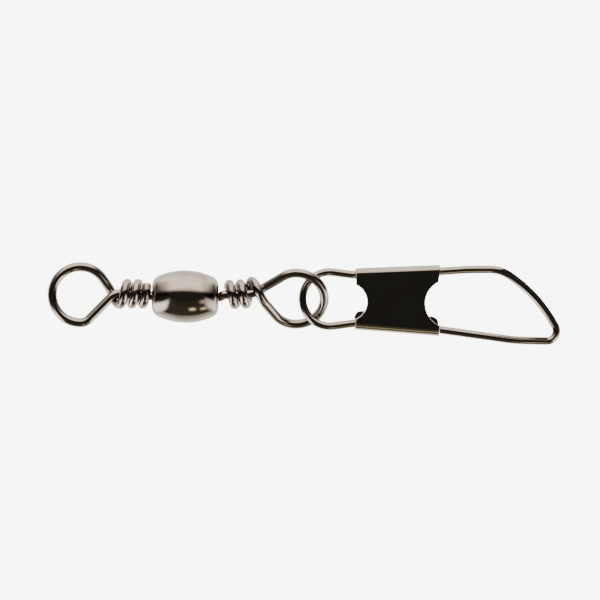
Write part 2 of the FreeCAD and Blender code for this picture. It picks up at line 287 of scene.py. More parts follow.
def handling_marks():
    """Soft smudges, fine scratches and small dull specks on polished plating, as masks from 0 to 1."""
    name = "handling marks"
    if name in bpy.data.node_groups:
        return bpy.data.node_groups[name]
    tree = bpy.data.node_groups.new(name, "ShaderNodeTree")
    face = tree.interface
    face.new_socket(name="Vector", in_out="INPUT", socket_type="NodeSocketVector")
    size = face.new_socket(name="Smudges per Metre", in_out="INPUT", socket_type="NodeSocketFloat")
    size.default_value = 500.0
    for output in ("Smudge", "Scratch", "Speck", "Ripple"):
        face.new_socket(name=output, in_out="OUTPUT", socket_type="NodeSocketFloat")
    inside = add(tree, "NodeGroupInput")
    outside = add(tree, "NodeGroupOutput")

    smudge = add(tree, "ShaderNodeTexNoise", {"Detail": 4.0, "Roughness": 0.55})
    link(tree, inside.outputs["Vector"], smudge.inputs["Vector"])
    link(tree, inside.outputs["Smudges per Metre"], smudge.inputs["Scale"])
    link(tree, fade(tree, smudge.outputs[0], start=0.42, end=0.68), outside.inputs["Smudge"])

    lean = add(tree, "ShaderNodeMapping", {"Rotation": (0.3, 0.2, 0.9), "Scale": (2.0, 40.0, 40.0)})
    link(tree, inside.outputs["Vector"], lean.inputs[0])
    scratch = add(tree, "ShaderNodeTexNoise", {"Scale": 260.0, "Detail": 3.0, "Roughness": 0.6})
    link(tree, lean.outputs[0], scratch.inputs["Vector"])
    fine = fade(tree, scratch.outputs[0], start=0.58, end=0.66, soft=False)
    link(tree, fine, outside.inputs["Scratch"])

    speck = add(tree, "ShaderNodeTexVoronoi", {"Scale": 620.0})
    link(tree, inside.outputs["Vector"], speck.inputs["Vector"])
    near = fade(tree, speck.outputs["Distance"], start=0.10, end=0.03, soft=False)
    chosen = math_node(tree, "GREATER_THAN", speck.outputs["Color"], CLEAN_SHARE)
    link(tree, math_node(tree, "MULTIPLY", near, chosen), outside.inputs["Speck"])

    ripple = add(tree, "ShaderNodeTexNoise", {"Scale": 900.0, "Detail": 2.0})
    link(tree, inside.outputs["Vector"], ripple.inputs["Vector"])
    link(tree, ripple.outputs[0], outside.inputs["Ripple"])
    return tree


# Dust in the dull specks, what dust and scratches add to the roughness, and how deep the relief is
DUST = (0.8, 0.78, 0.74)
DUST_ROUGHNESS = 0.4
SCRATCH_ROUGHNESS = 0.10
SCRATCH_DEPTH = 0.3
RIPPLE_HEIGHT = 0.02 * MM


def plating(name, base, dull, smudges=500.0, gloss=0.07, smeared=0.16, dulling=0.35, ripple=0.04,
            specks=0.0):
    """Polished black nickel: clean gloss, smeared where it was handled, faintly rippled."""
    if name in bpy.data.materials:
        return bpy.data.materials[name]
    material = bpy.data.materials.new(name)
    material.use_nodes = True
    material.diffuse_color = (*base, 1.0)
    tree = material.node_tree
    shader = tree.nodes["Principled BSDF"]
    shader.inputs["Metallic"].default_value = 1.0
    place = add(tree, "ShaderNodeTexCoord")
    marks = add(tree, "ShaderNodeGroup", node_tree=handling_marks())
    marks.inputs["Smudges per Metre"].default_value = smudges
    link(tree, place.outputs["Object"], marks.inputs["Vector"])

    tint = add(tree, "ShaderNodeMix", data_type="RGBA")
    tint.inputs["A"].default_value = (*base, 1.0)
    tint.inputs["B"].default_value = (*dull, 1.0)
    worn = math_node(tree, "MULTIPLY", marks.outputs["Smudge"], dulling)
    link(tree, worn, tint.inputs["Factor"])
    dusty = add(tree, "ShaderNodeMix", data_type="RGBA")
    dusty.inputs["B"].default_value = (*DUST, 1.0)
    link(tree, tint.outputs["Result"], dusty.inputs["A"])
    dust = math_node(tree, "MULTIPLY", marks.outputs["Speck"], specks)
    link(tree, dust, dusty.inputs["Factor"])
    link(tree, dusty.outputs["Result"], shader.inputs["Base Color"])

    rough = math_node(tree, "MULTIPLY", marks.outputs["Smudge"], smeared - gloss)
    rough = math_node(tree, "ADD", rough, gloss)
    scratched = math_node(tree, "MULTIPLY", marks.outputs["Scratch"], SCRATCH_ROUGHNESS)
    rough = math_node(tree, "ADD", rough, scratched)
    rough = math_node(tree, "ADD", rough, math_node(tree, "MULTIPLY", dust, DUST_ROUGHNESS))
    link(tree, rough, shader.inputs["Roughness"])

    bump = add(tree, "ShaderNodeBump")
    bump.inputs["Strength"].default_value = ripple
    bump.inputs["Distance"].default_value = RIPPLE_HEIGHT
    relief = math_node(tree, "SUBTRACT", marks.outputs["Ripple"],
                       math_node(tree, "MULTIPLY", marks.outputs["Scratch"], SCRATCH_DEPTH))
    link(tree, relief, bump.inputs["Height"])
    link(tree, bump.outputs[0], shader.inputs["Normal"])
    return material


def barrel_plating(finish):
    return plating("barrel black nickel", finish.shell, finish.dull, smudges=700.0, smeared=0.22,
                   dulling=0.6, ripple=0.05)


def eye_plating(finish):
    return plating("eye wire black nickel", finish.nickel, finish.dull, smudges=900.0)


def snap_plating(finish):
    return plating("snap wire black nickel", finish.nickel, finish.dull, smudges=800.0, dulling=0.3)


def clasp_plating(finish):
    return plating("clasp black nickel", finish.plate, finish.dull, smudges=420.0, gloss=0.05,
                   smeared=0.10, ripple=0.02, specks=0.5)


# A painted highlight: brighter, brassy plating that stands in for the golden glint along the clasp's lower
# fold
def painted_sheen_plating(finish):
    return plating("rubbed fold", finish.painted_sheen, finish.plate, smudges=600.0, gloss=0.10, smeared=0.18)


def cut_plating(finish):
    return plating("bright cut edge", finish.cut, finish.nickel, smudges=1500.0, gloss=0.40, smeared=0.55)


# Wires


# The share of its shorter run that a bend of no stated reach takes
NEARLY_HALF = 0.49


def bend_knots(corners):
    """Curve knots of straight runs and tangent bends. Each corner is (point, reach), where reach is how
    far the bend starts before the corner and ends after it."""
    first, last = corners[0][0], corners[-1][0]
    knots = []
    for (before, _), (point, reach), (after, _) in zip(corners, corners[1:], corners[2:]):
        run_in, run_out = point - before, after - point
        if reach is None:
            reach = min(run_in.length, run_out.length) * NEARLY_HALF
        turn = run_in.angle(run_out)
        pull = 4 / 3 * math.tan(turn / 4) * reach / math.tan(turn / 2)
        into, out = run_in.normalized(), run_out.normalized()
        knots.append([point - into * reach, None, into * pull])
        knots.append([point + out * reach, out * -pull, None])
    knots.insert(0, [first, None, None])
    knots.append([last, None, None])
    for here, there in zip(knots, knots[1:]):
        if here[2] is None:
            third = (there[0] - here[0]) / 3
            here[2] = third
            there[1] = -third
    knots[0][1] = -knots[0][2]
    knots[-1][2] = -knots[-1][1]
    return knots


def bent_wire(name, corners, thickness, tube_faces, steps=10):
    """A round wire along its bends, as a closed mesh object in millimetres. A curve's round tube has two
    faces for each step of its resolution, and four more."""
    curve = bpy.data.curves.new(name, "CURVE")
    curve.dimensions = "3D"
    curve.twist_mode = "MINIMUM"
    curve.bevel_depth = thickness / 2
    curve.bevel_resolution = (tube_faces - 4) // 2
    curve.resolution_u = steps
    curve.use_fill_caps = True
    knots = bend_knots(corners)
    spline = curve.splines.new("BEZIER")
    spline.bezier_points.add(len(knots) - 1)
    for knot, (place, back, ahead) in zip(spline.bezier_points, knots):
        knot.handle_left_type = knot.handle_right_type = "FREE"
        knot.co = place
        knot.handle_left = place + back
        knot.handle_right = place + ahead
    drawn = bpy.data.objects.new(name, curve)
    bpy.context.scene.collection.objects.link(drawn)
    wire = evaluated_copy(drawn, name)
    bpy.data.curves.remove(curve)
    return wire


def evaluated_copy(source, name):
    """A mesh object with the source's modifiers or bevel made real. The source object goes."""
    bpy.context.view_layer.update()
    ready = source.evaluated_get(bpy.context.evaluated_depsgraph_get())
    mesh = bpy.data.meshes.new_from_object(ready)
    mesh.name = name
    bpy.data.objects.remove(source)
    piece = bpy.data.objects.new(name, mesh)
    bpy.context.scene.collection.objects.link(piece)
    return piece


def as_object(bm, name):
    mesh = bpy.data.meshes.new(name)
    bm.to_mesh(mesh)
    bm.free()
    piece = bpy.data.objects.new(name, mesh)
    bpy.context.scene.collection.objects.link(piece)
    return piece


def settle(piece, place, finish):
    """Puts a finished piece in the frame, in metres, with its faces outwards and its finish on."""
    bm = bmesh.new()
    bm.from_mesh(piece.data)
    bmesh.ops.remove_doubles(bm, verts=bm.verts, dist=SAME_CORNER)
    bmesh.ops.recalc_face_normals(bm, faces=bm.faces)
    bm.to_mesh(piece.data)
    bm.free()
    piece.data.transform(Matrix.Scale(MM, 4) @ place)
    piece.data.shade_smooth()
    piece.data.set_sharp_from_angle(angle=CREASE)
    piece.data.materials.clear()
    piece.data.materials.append(finish)
    return piece


def turn_corners(eyes, near_x, neck_x, slant, turns, neck_y, end_y, lean, lift):
    """The wire's turns over the shank, from its crossing at the neck back to its cut end. They circle a
    centre that goes from neck_y to end_y. The first turn is lifted where it crosses the climbing strand."""
    count = eyes.turn_corners
    step = 2 * math.pi / count
    corner_r = mm(eyes.turn_r) / math.cos(step / 2)
    lift_at, lift_steps, neck_steps = 2.5, 3.5, 3
    steps = turns * count
    corners = []
    for k in [*range(math.ceil(steps)), steps]:
        angle = math.pi / 2 + step / 2 - step * k
        advance = mm(eyes.turn_pitch) * k / count + slant * min(k / neck_steps, 1)
        x = max(neck_x - advance + lean * math.cos(angle), near_x)
        centre_y = neck_y + (end_y - neck_y) * k / steps
        rise = centre_y + lift * max(0.0, 1 - abs(k - lift_at) / lift_steps)
        corners.append((Vector((x, corner_r * math.cos(angle) + rise, corner_r * math.sin(angle))), None))
    return corners


def eye_corners(context, eye_x, seat_x, shank_y, shank_bends, core_shoulder, wrap_shoulder,
                neck, slant, turns, neck_y, lean, lift):
    """One eye wire's corners: head at the barrel's middle, eye at eye_x, then turns back over the shank,
    which is bent off the axis by shank_y where it leaves the barrel."""
    scene = context.scene
    eyes, barrel = scene.swivel_eyes, scene.swivel_barrel
    r, end, kink = mm(eyes.radius), mm(barrel.length) / 2, mm(eyes.shank_kink)
    near_x = end + mm(eyes.end_gap) + mm(scene.swivel_stock.eye_wire) / 2
    corners = [
        (Vector((seat_x - mm(barrel.head_length) / 2, 0, 0)), 0),
        (Vector((end + kink, 0, 0)), kink),
        (Vector((end + 3 * kink, shank_y, 0)), kink),
    ]
    corners += [(Vector((eye_x + x, y, 0)), reach) for x, y, reach in shank_bends]
    corners += [
        (Vector((eye_x - core_shoulder, r, 0)), core_shoulder),
        (Vector((eye_x + r, r, 0)), r),
        (Vector((eye_x + r, -r, 0)), r),
        (Vector((eye_x - wrap_shoulder, -r, mm(eyes.twist))), wrap_shoulder),
    ]
    return corners + turn_corners(eyes, near_x, eye_x - neck, slant, turns, neck_y, shank_y, lean, lift)


# Faces round the upset head, and across its rounded edges
HEAD_FACES = 48
HEAD_EDGE_STEPS = 4


def wire_head(barrel, seat_x):
    """The upset head at the wire's end, flat on its seat side."""
    bm = bmesh.new()
    radius, depth = mm(barrel.head) / 2, mm(barrel.head_length)
    upright = Matrix.Translation((seat_x - depth / 2, 0, 0)) @ Matrix.Rotation(math.pi / 2, 4, "Y")
    bmesh.ops.create_cone(bm, cap_ends=True, segments=HEAD_FACES, radius1=radius, radius2=radius,
                          depth=depth, matrix=upright)
    rims = [edge for edge in bm.edges if len(edge.link_faces) == 2
            and any(len(face.verts) > 4 for face in edge.link_faces)]
    bmesh.ops.bevel(bm, geom=rims, offset=mm(barrel.head_edge_r), segments=HEAD_EDGE_STEPS, profile=0.5,
                    affect="EDGES", material=-1)
    return as_object(bm, "head")


def join_into(piece, other):
    """Adds another piece's mesh to a piece. The other mesh goes, with its object."""
    bm = bmesh.new()
    bm.from_mesh(piece.data)
    bm.from_mesh(other.data)
    bm.to_mesh(piece.data)
    bm.free()
    bpy.data.meshes.remove(other.data)


def eye_wire(context, name, reach, end_play, **bends):
    """One eye's whole wire with its head, in millimetres from the barrel's middle. reach is how far the
    eye's middle lies past the barrel's end, and end_play how far the head stands off its seat."""
    barrel, stock = context.scene.swivel_barrel, context.scene.swivel_stock
    half = mm(barrel.length) / 2
    seat_x = half - mm(barrel.wall) - mm(barrel.seat_gap) - end_play
    corners = eye_corners(context, eye_x=half + reach, seat_x=seat_x, **bends)
    wire = bent_wire(name, corners, mm(stock.eye_wire), stock.tube_faces)
    join_into(wire, wire_head(barrel, seat_x))
    return wire


# Snap and clasp

# Steps round each fold, each notch and each corner of the flap
LOWER_FOLD_STEPS = 20
UPPER_FOLD_STEPS = 26
NOTCH_STEPS = 28
FLAP_CORNER_STEPS = 10

# The plug that cuts a notch, in millimetres: its reach past the sheet, its height and its start over the axis
PLUG_REACH = 1
PLUG_HEIGHT = 1
PLUG_START = 0.1

# The clasp's three finishes, in their order on the sheet: plate, cut edges and the painted highlight on the
# lower fold
PLATE, CUT_EDGE, PAINTED_SHEEN = 0, 1, 2

# The lower fold's faces that get the painted highlight look down by more than the first of these and up from
# the table by the second
PAINTED_SHEEN_DOWN = 0.2
PAINTED_SHEEN_UP = 0.1

# Slivers thinner than this, in millimetres, are closed before the cut edges are rounded
SLIVER = 0.01


def upper_fold(clasp, u):
    """The upper fold's axis at u, along the snap from the middle of its link."""
    rise = math.tan(clasp.upper_slope)
    return Vector((u, mm(clasp.upper_v) + (u - mm(clasp.start)) * rise, 0))


def lower_fold(clasp, u):
    """The lower fold's axis at u."""
    rise = math.tan(clasp.lower_slope)
    return Vector((u, mm(clasp.lower_v) + (u - mm(clasp.start)) * rise, 0))


def leg_corner(link_r, side, leg_angle, fold_start, fold_angle):
    """Where a straight leg off the round link meets the line of a fold. side is 1 above and -1 below."""
    leg_v = side * link_r / math.cos(leg_angle)
    leg_slope = -side * math.tan(leg_angle)
    fold_slope = math.tan(fold_angle)
    u = (fold_start.y - fold_slope * fold_start.x - leg_v) / (leg_slope - fold_slope)
    return Vector((u, leg_v + leg_slope * u, 0))


def link_corners(snap):
    """Corners of the round link, from its upper leg round to its lower leg."""
    count, link_r = 3, mm(snap.link_r)
    first = math.pi / 2 - snap.upper_leg
    turn = (math.pi + snap.upper_leg + snap.lower_leg) / count
    corner_r, reach = link_r / math.cos(turn / 2), link_r * math.tan(turn / 2)
    angles = [first + turn * (k + 0.5) for k in range(count)]
    return [(Vector((corner_r * math.cos(a), corner_r * math.sin(a), 0)), reach) for a in angles]


def past_clasp(clasp, place):
    """A point that is given from the clasp's far edge, in the snap's own plane."""
    across, up = mm(place)
    return Vector((mm(clasp.start) + mm(clasp.length) + across, up, 0))


def snap_place():
    """From the snap's own plane, in millimetres, to where it lies, as its joint in the frame gives it."""
    swing = joints["snap_swing"]
    normal = Vector(swing["axis"]).normalized()
    pitch = Matrix.Rotation(math.atan2(normal.x, normal.z), 4, "Y")
    lean = Matrix.Rotation(-math.asin(normal.y), 4, "X")
    return Matrix.Translation(Vector(swing["pos_m"]) / MM) @ pitch @ lean


def arc_on(bm, start, middle, axis, angle, steps):
    """Draws an arc on from a vertex, and gives the arc's last vertex."""
    drawn = bmesh.ops.spin(bm, geom=[start], cent=middle, axis=axis, angle=angle, steps=steps,
                           use_duplicate=False)
    return next(item for item in drawn["geom_last"] if isinstance(item, bmesh.types.BMVert))


def run_on(bm, start, run):
    """Draws a straight run on from a vertex, and gives its far vertex."""
    drawn = bmesh.ops.extrude_vert_indiv(bm, verts=[start])
    bmesh.ops.translate(bm, verts=drawn["verts"], vec=run)
    return drawn["verts"][0]


def clasp_section(bm, clasp, u, fold_r):
    """The folded sheet's inner face at u, from the flap's end round both folds, as a line of edges."""
    upper, lower = upper_fold(clasp, u), lower_fold(clasp, u)
    flap_end = lower + Vector((0, mm(clasp.flap), -fold_r))
    end = bm.verts.new(flap_end)
    at_back = run_on(bm, end, Vector((0, -mm(clasp.flap), 0)))
    in_front = arc_on(bm, at_back, lower, ALONG, -math.pi, LOWER_FOLD_STEPS)
    at_top = run_on(bm, in_front, Vector((0, upper.y - lower.y, 0)))
    arc_on(bm, at_top, upper, ALONG, -(math.pi / 2 + clasp.crimp_wrap), UPPER_FOLD_STEPS)


def circle_centre(first, second, third):
    """Centre of the circle through three points that lie in one plane across."""
    to_second, to_third = second - first, third - first
    square = 2 * (to_second.x * to_third.y - to_second.y * to_third.x)
    across = to_third.y * to_second.length_squared - to_second.y * to_third.length_squared
    up = to_second.x * to_third.length_squared - to_third.x * to_second.length_squared
    return first + Vector((across, up, 0)) / square


def notch_cutter(land, slant, lower, depth, outwards):
    """A plug that cuts one end of the plate. It slants back from the upper land's corner, follows a round
    notch down to lower, and closes outside the plate. outwards is 1 where the notch opens to the nose,
    and -1 to the link."""
    upper = land + slant
    deepest = Vector((land.x - outwards * depth, (upper.y + lower.y) / 2, 0))
    centre = circle_centre(upper, deepest, lower)
    bend = (upper - centre).angle(deepest - centre) + (deepest - centre).angle(lower - centre)
    bm = bmesh.new()
    start = bm.verts.new(land)
    at_notch = run_on(bm, start, slant) if slant.length > 0 else start
    below = arc_on(bm, at_notch, centre, UP, outwards * bend, NOTCH_STEPS)
    outside = run_on(bm, below, Vector((outwards * PLUG_REACH, 0, 0)))
    run_on(bm, outside, Vector((0, land.y - lower.y, 0)))
    bmesh.ops.contextual_create(bm, geom=[vert for vert in bm.verts if len(vert.link_edges) == 1])
    bmesh.ops.edgeloop_fill(bm, edges=bm.edges[:])
    plug = bmesh.ops.extrude_face_region(bm, geom=bm.faces[:])
    raised = [item for item in plug["geom"] if isinstance(item, bmesh.types.BMVert)]
    bmesh.ops.translate(bm, verts=raised, vec=(0, 0, PLUG_HEIGHT))
    bmesh.ops.recalc_face_normals(bm, faces=bm.faces[:])
    bmesh.ops.translate(bm, verts=bm.verts[:], vec=(0, 0, PLUG_START))
    return as_object(bm, "notch")


def cut(piece, cutter):
    """Takes the cutter's shape out of a piece, by a modifier."""
    change = piece.modifiers.new("notch", "BOOLEAN")
    change.operation = "DIFFERENCE"
    change.solver = "EXACT"
    change.object = cutter


# Light

# Shades in the studio
CREAM = (1.30, 1.12, 0.95)
PALE = (0.82, 0.765, 0.70)
BLACK = (0.016, 0.015, 0.013)
UMBER = (0.040, 0.032, 0.022)
OLIVE = (0.028, 0.025, 0.016)
TAN = (0.42, 0.34, 0.27)
STONE = (0.40, 0.365, 0.32)
GLINT = (0.92, 0.80, 0.50)
ROSE = (1.70, 1.50, 1.42)

# Bands round the swivel's axis: degrees from straight up, towards the arm's side, and the shade there
BANDS = (
    (-179, PALE),
    (-130, PALE),
    (-104, STONE),
    (-88, UMBER),
    (-60, UMBER),
    (-30, OLIVE),
    (-10, BLACK),
    (18, BLACK),
    (44, CREAM),
    (90, CREAM),
    (130, PALE),
    (179, PALE),
)

# Patches of light: the shade, then the middle and reach across, as the mirrored direction's share along the
# swivel, then the middle and reach round it in degrees, how far the patch leans round in degrees from its
# middle to the swivel's end, and the share of each reach that falls off
LAMPS = (
    (ROSE, -0.70, 0.26, -94, 66, 120, 0.5),
    (ROSE, 0.84, 0.30, -96, 76, -110, 0.5),
    (TAN, 0.54, 0.16, -26, 16, 0, 0.9),
    (GLINT, 0.20, 0.13, -59, 12, 0, 0.9),
    (GLINT, 0.48, 0.11, -64, 12, 0, 0.9),
)

# How the bands dim towards the swivel's two ends, by the mirrored direction's share along the swivel. On the
# arm's side they dim sooner and further, from straight up down to the angle where ARM_SIDE ends.
END_DIMMING = {"start": 0.50, "end": 0.95, "first": 1.0, "last": 0.36}
ARM_DIMMING = {"start": 0.38, "end": 0.76, "first": 1.0, "last": 0.07}
ARM_SIDE = {"start": 95 / 360, "end": 130 / 360, "first": 1.0, "last": 0.0}


def lamp_patch():
    """One soft patch of light laid over what is behind it, by the mirrored direction's place across and
    round the swivel."""
    name = "lamp patch"
    if name in bpy.data.node_groups:
        return bpy.data.node_groups[name]
    tree = bpy.data.node_groups.new(name, "ShaderNodeTree")
    face = tree.interface
    for colour_input in ("Behind", "Shade"):
        face.new_socket(name=colour_input, in_out="INPUT", socket_type="NodeSocketColor")
    for value in ("Across", "Round", "Middle Across", "Reach Across", "Middle Round", "Reach Round", "Lean",
                  "Falloff"):
        face.new_socket(name=value, in_out="INPUT", socket_type="NodeSocketFloat")
    face.new_socket(name="Colour", in_out="OUTPUT", socket_type="NodeSocketColor")
    inside = add(tree, "NodeGroupInput")
    outside = add(tree, "NodeGroupOutput")
    full = math_node(tree, "SUBTRACT", 1.0, inside.outputs["Falloff"])
    across = math_node(tree, "SUBTRACT", inside.outputs["Across"], inside.outputs["Middle Across"])
    upright = math_node(tree, "SUBTRACT", inside.outputs["Round"], inside.outputs["Middle Round"])
    leaned = math_node(tree, "SUBTRACT", upright, math_node(tree, "MULTIPLY", across, inside.outputs["Lean"]))
    masks = []
    for way, off in (("Across", across), ("Round", leaned)):
        share = math_node(tree, "DIVIDE", math_node(tree, "ABSOLUTE", off), inside.outputs["Reach " + way])
        masks.append(fade(tree, share, start=1.0, end=full))
    mixed = add(tree, "ShaderNodeMix", data_type="RGBA")
    link(tree, math_node(tree, "MULTIPLY", *masks), mixed.inputs["Factor"])
    link(tree, inside.outputs["Behind"], mixed.inputs["A"])
    link(tree, inside.outputs["Shade"], mixed.inputs["B"])
    link(tree, mixed.outputs["Result"], outside.inputs["Colour"])
    return tree


# Operators

# Steps along each part of the barrel's profile, and faces round it
LIP_STEPS = 5
SHOULDER_STEPS = 14
CROWN_STEPS = 44
BARREL_FACES = 144

# Ends of the profile's parts that lie nearer than this, in millimetres, are joined
PROFILE_JOINT = 1e-3


class SwivelPiece:
    """What every operator here shares"""

    bl_options = {"REGISTER", "UNDO"}

    @classmethod
    def poll(cls, context):
        return context.scene is not None


class SWIVEL_OT_barrel(SwivelPiece, bpy.types.Operator):
    """Turns the hollow barrel from its profile"""

    bl_idname = "swivel.barrel"
    bl_label = "Barrel"

    def execute(self, context):
        scene = context.scene
        size = scene.swivel_barrel
        half, wall, end_r = mm(size.length) / 2, mm(size.wall), mm(size.end_face_r)
        bm = bmesh.new()
        hole_r, lip = mm(size.hole_r), mm(size.lip_r)
        start = bm.verts.new((half - lip, hole_r, 0))
        rim = arc_on(bm, start, (half - lip, hole_r + lip, 0), UP, math.pi / 2, LIP_STEPS)
        outer = self.crown(bm, rim, half, mm(size.thickness) / 2, mm(size.shoulder_r), end_r, 1)
        rim = run_on(bm, outer, Vector((0, hole_r + lip - end_r, 0)))
        inside = arc_on(bm, rim, (-half + lip, hole_r + lip, 0), UP, math.pi / 2, LIP_STEPS)
        seat = run_on(bm, inside, Vector((wall - lip, 0, 0)))
        inner = self.crown(bm, seat, half - wall, mm(size.thickness) / 2 - wall,
                           mm(size.shoulder_r) - wall, end_r, -1)
        seat = run_on(bm, inner, Vector((0, hole_r - end_r, 0)))
        run_on(bm, seat, Vector((wall - lip, 0, 0)))
        bmesh.ops.remove_doubles(bm, verts=bm.verts, dist=PROFILE_JOINT)
        bmesh.ops.spin(bm, geom=bm.verts[:] + bm.edges[:], cent=(0, 0, 0), axis=ALONG,
                       angle=2 * math.pi, steps=BARREL_FACES, use_merge=True)
        barrel = as_object(bm, "barrel_shell")
        place = Matrix.Translation(Vector(joints["line_eye_spin"]["pos_m"]) / MM)
        settle(barrel, place, barrel_plating(scene.swivel_finish))
        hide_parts("barrel")
        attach(barrel, "barrel")
        return {"FINISHED"}

    @staticmethod
    def crown(bm, start, half, middle_r, shoulder_r, end_r, way):
        """The barrel's long crown between its two tighter shoulders, from end to end. way is 1 for the
        outside, drawn towards the line eye, and -1 for the inside, drawn back."""
        shoulder_x, rise = half - shoulder_r, middle_r - end_r
        crown_r = (shoulder_x ** 2 + rise ** 2 - shoulder_r ** 2) / (2 * (rise - shoulder_r))
        lean = math.atan2(shoulder_x, end_r - (middle_r - crown_r))
        near = run_on(bm, start, Vector((0, end_r - start.co.y, 0)))
        bend = (math.pi / 2 - lean) * way
        top = arc_on(bm, near, (way * shoulder_x, end_r, 0), UP, bend, SHOULDER_STEPS)
        far = arc_on(bm, top, (0, middle_r - crown_r, 0), UP, 2 * lean * way, CROWN_STEPS)
        return arc_on(bm, far, (-way * shoulder_x, end_r, 0), UP, bend, SHOULDER_STEPS)


class SWIVEL_OT_line_eye(SwivelPiece, bpy.types.Operator):
    """Bends the wire of the line eye and winds its end over the shank"""

    bl_idname = "swivel.line_eye"
    bl_label = "Line Eye"

    def execute(self, context):
        scene = context.scene
        wire = eye_wire(
            context,
            "line_eye",
            reach=mm(scene.swivel_eyes.line_reach),
            end_play=mm(scene.swivel_barrel.end_play),
            shank_y=-0.17,
            shank_bends=[(-3.00, -0.17, 0.60)],
            core_shoulder=0.50,
            wrap_shoulder=1.22,
            neck=2.59,
            slant=0.71,
            turns=2.70,
            neck_y=-0.16,
            lean=0.03,
            lift=0.04,
        )
        place = Matrix.Translation(Vector(joints["line_eye_spin"]["pos_m"]) / MM)
        settle(wire, place @ Matrix.Scale(-1, 4), eye_plating(scene.swivel_finish))
        wire.data.flip_normals()
        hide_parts("line_eye_wire")
        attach(wire, "line_eye")
        return {"FINISHED"}


class SWIVEL_OT_snap_eye(SwivelPiece, bpy.types.Operator):
    """Bends the wire of the snap's eye and winds its end over the shank"""

    bl_idname = "swivel.snap_eye"
    bl_label = "Snap Eye"

    def execute(self, context):
        scene = context.scene
        eyes = scene.swivel_eyes
        wire = eye_wire(
            context,
            "snap_eye",
            reach=mm(eyes.snap_reach),
            end_play=0,
            shank_y=0.25,
            shank_bends=[(-3.88, 0.33, 0.50), (-3.00, 0.88, 0.30)],
            core_shoulder=0.65,
            wrap_shoulder=1.12,
            neck=2.90,
            slant=0.68,
            turns=2.50,
            neck_y=0.42,
            lean=-0.04,
            lift=0.24,
        )
        place = Matrix.Translation(Vector(joints["snap_eye_spin"]["pos_m"]) / MM)
        settle(wire, place @ Matrix.Rotation(eyes.snap_roll, 4, "X"), eye_plating(scene.swivel_finish))
        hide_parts("snap_eye_wire")
        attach(wire, "snap_eye")
        return {"FINISHED"}


class SWIVEL_OT_snap_wire(SwivelPiece, bpy.types.Operator):
    """Bends the snap's one wire: the round link, the fixed leg, the nose and the sprung arm"""

    bl_idname = "swivel.snap_wire"
    bl_label = "Snap Wire"

    def execute(self, context):
        scene = context.scene
        snap, clasp = scene.swivel_snap, scene.swivel_clasp
        finish = snap_plating(scene.swivel_finish)
        start, middle = mm(clasp.start), mm(clasp.start) + mm(clasp.length) / 2
        end, gap = mm(clasp.start) + mm(clasp.length), mm(snap.wire_end_gap)
        knee, nose = past_clasp(clasp, snap.knee), past_clasp(clasp, snap.nose)
        crown = past_clasp(clasp, snap.crown)
        seam = nose + (knee - nose).normalized() * (mm(snap.nose_reach) + mm(snap.seam))
        link_r, bend = mm(snap.link_r), mm(snap.leg_bend)
        fixed = [
            (upper_fold(clasp, middle - gap / 2), 0),
            (leg_corner(link_r, 1, snap.upper_leg, upper_fold(clasp, start), clasp.upper_slope), bend),
            *link_corners(snap),
            (leg_corner(link_r, -1, snap.lower_leg, lower_fold(clasp, start), clasp.lower_slope), bend),
            (lower_fold(clasp, end), bend),
            (knee, mm(snap.knee_reach)),
            (seam, 0),
        ]
        sprung = [
            (seam, 0),
            (nose, mm(snap.nose_reach)),
            (crown, mm(snap.crown_reach)),
            (past_clasp(clasp, snap.top), mm(snap.top_reach)),
            (past_clasp(clasp, snap.kink), mm(snap.kink_reach)),
            (upper_fold(clasp, end + mm(snap.fold_exit)), bend),
            (upper_fold(clasp, middle + gap / 2), 0),
        ]
        place = snap_place()
        thickness, faces = mm(scene.swivel_stock.snap_wire), scene.swivel_stock.tube_faces
        leg = settle(bent_wire("snap_link_and_leg", fixed, thickness, faces), place, finish)
        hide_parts("snap_wire")
        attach(leg, "snap")

        arm = settle(bent_wire("snap_nose_and_arm", sprung, thickness, faces, steps=16), place, finish)
        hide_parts("gate_arm")
        along = (crown - nose).normalized()
        root = nose + along * mm(snap.root)
        flex = along * mm(snap.flex) / 2
        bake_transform(arm)
        return {"FINISHED"}


